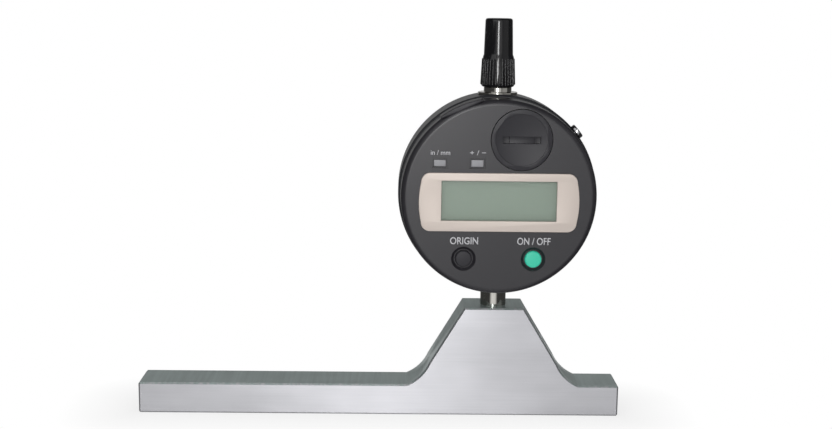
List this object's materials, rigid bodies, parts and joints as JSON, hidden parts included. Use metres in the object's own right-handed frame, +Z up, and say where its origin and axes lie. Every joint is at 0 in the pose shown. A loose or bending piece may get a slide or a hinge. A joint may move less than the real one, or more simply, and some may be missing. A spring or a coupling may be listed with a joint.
{
  "type": "depth gauge",
  "caption": "Digital depth gauge: a round rotating display on a stem, clamped in a long offset steel base, with a sprung plunger that measures down past the base.",
  "frame": {"origin": "middle of the base's flat reference face, on the underside", "axes": "+X along the base towards its short end, +Y from the display to the back, +Z up along the plunger's line"},
  "size_m": [0.15, 0.024, 0.1231],
  "materials": {
    "base_steel": "ground, fine lengthwise grinding lines",
    "turned_steel": "turned and ground bright",
    "bright_chrome": "polished",
    "blackened_steel": "black oxide",
    "bronze": "turned",
    "spring_steel": "drawn wire",
    "case_grey": "satin dark grey lacquer",
    "face_grey": "moulded, fine satin grain",
    "frame_champagne": "champagne anodised, satin",
    "window_clear": "clear, polished",
    "lcd_green": "greenish grey liquid crystal panel",
    "holder_white": "moulded white",
    "board_green": "solder-masked laminate",
    "strip_rubber": "matt grey silicone",
    "seal_rubber": "matt black",
    "black_plastic": "moulded, fine satin grain",
    "button_green": "moulded, smooth",
    "key_grey": "moulded, satin",
    "cell_nickel": "nickel plated",
    "glass_scale": "coated strip",
    "carrier_grey": "machined",
    "film_amber": "thin amber film"
  },
  "bodies": {
    "gauge_body": {"depth_base": "base_steel", "clamp_screw": "blackened_steel", "clamp_pad": "bronze", "stem": "turned_steel", "stem_bush": "bronze", "stop_bumper": "seal_rubber", "rear_case": "case_grey", "back_cover": "case_grey", "back_cover_screws": "bright_chrome", "upper_sleeve": "turned_steel", "dust_cap": "black_plastic", "detector_board": "board_green", "detector_screws": "bright_chrome", "guide_rail": "turned_steel", "guide_rail_screws": "bright_chrome", "spring_post": "turned_steel", "return_spring": "spring_steel"},
    "plunger": {"spindle": "turned_steel", "contact_point": "turned_steel", "contact_ball": "bright_chrome", "stop_collar": "turned_steel", "scale_carrier": "carrier_grey", "carrier_screw": "blackened_steel", "main_scale": "glass_scale", "guide_pin": "turned_steel", "spring_pin": "turned_steel"},
    "display_head": {"front_housing": "face_grey", "display_frame": "frame_champagne", "display_window": "window_clear", "lcd_panel": "lcd_green", "lcd_holder": "holder_white", "contact_strips": "strip_rubber", "circuit_board": "board_green", "board_screws": "bright_chrome", "key_domes": "bright_chrome", "bearing_ring": "carrier_grey", "retaining_ring": "turned_steel", "retaining_ring_screws": "bright_chrome", "flex_cable": "film_amber", "battery": "cell_nickel", "battery_clip": "bronze", "battery_side_contact": "bronze", "battery_seal": "seal_rubber", "connector_socket": "black_plastic", "connector_pins": "bronze"},
    "battery_cap_body": {"battery_cap": "black_plastic"},
    "connector_cover_body": {"connector_cover": "black_plastic"},
    "origin_button_body": {"origin_button": "black_plastic"},
    "power_button_body": {"power_button": "button_green"},
    "unit_key_body": {"unit_key": "key_grey"},
    "sign_key_body": {"sign_key": "key_grey"},
    "lock_screw_body": {"lock_screw": "bright_chrome"}
  },
  "joints": [
    {"name": "spindle_slide", "type": "slide", "parent": "gauge_body", "child": "plunger", "axis": [0, 0, 1], "range_m": [-0.0122, 0.0005], "stiffness_N_per_m": 60, "springref_m": -0.02, "deforming": ["return_spring"]},
    {"name": "display_turn", "type": "hinge", "parent": "gauge_body", "child": "display_head", "pos_m": [0.0355, 0, 0.0705], "axis": [0, 1, 0], "range_deg": [-165, 165]},
    {"name": "lock_screw_turn", "type": "hinge", "parent": "gauge_body", "child": "lock_screw_body", "pos_m": [0.05881, -0.0068, 0.08938], "axis": [0.7771, 0, 0.6293], "range_deg": [0, 180]},
    {"name": "battery_cap_turn", "type": "hinge", "parent": "display_head", "child": "battery_cap_body", "pos_m": [0.04185, -0.016, 0.0879], "axis": [0, 1, 0], "range_deg": [-90, 0]},
    {"name": "connector_cover_pull", "type": "slide", "parent": "display_head", "child": "connector_cover_body", "axis": [-0.3987, 0, 0.9171], "range_m": [0, 0.004]},
    {"name": "origin_button_press", "type": "slide", "parent": "display_head", "child": "origin_button_body", "axis": [0, 1, 0], "range_m": [0, 0.0005], "stiffness_N_per_m": 300, "springref_m": -0.0003},
    {"name": "power_button_press", "type": "slide", "parent": "display_head", "child": "power_button_body", "axis": [0, 1, 0], "range_m": [0, 0.0005], "stiffness_N_per_m": 300, "springref_m": -0.0003},
    {"name": "unit_key_press", "type": "slide", "parent": "display_head", "child": "unit_key_body", "axis": [0, 1, 0], "range_m": [0, 0.0005], "stiffness_N_per_m": 300, "springref_m": -0.0003},
    {"name": "sign_key_press", "type": "slide", "parent": "display_head", "child": "sign_key_body", "axis": [0, 1, 0], "range_m": [0, 0.0005], "stiffness_N_per_m": 300, "springref_m": -0.0003}
  ]
}
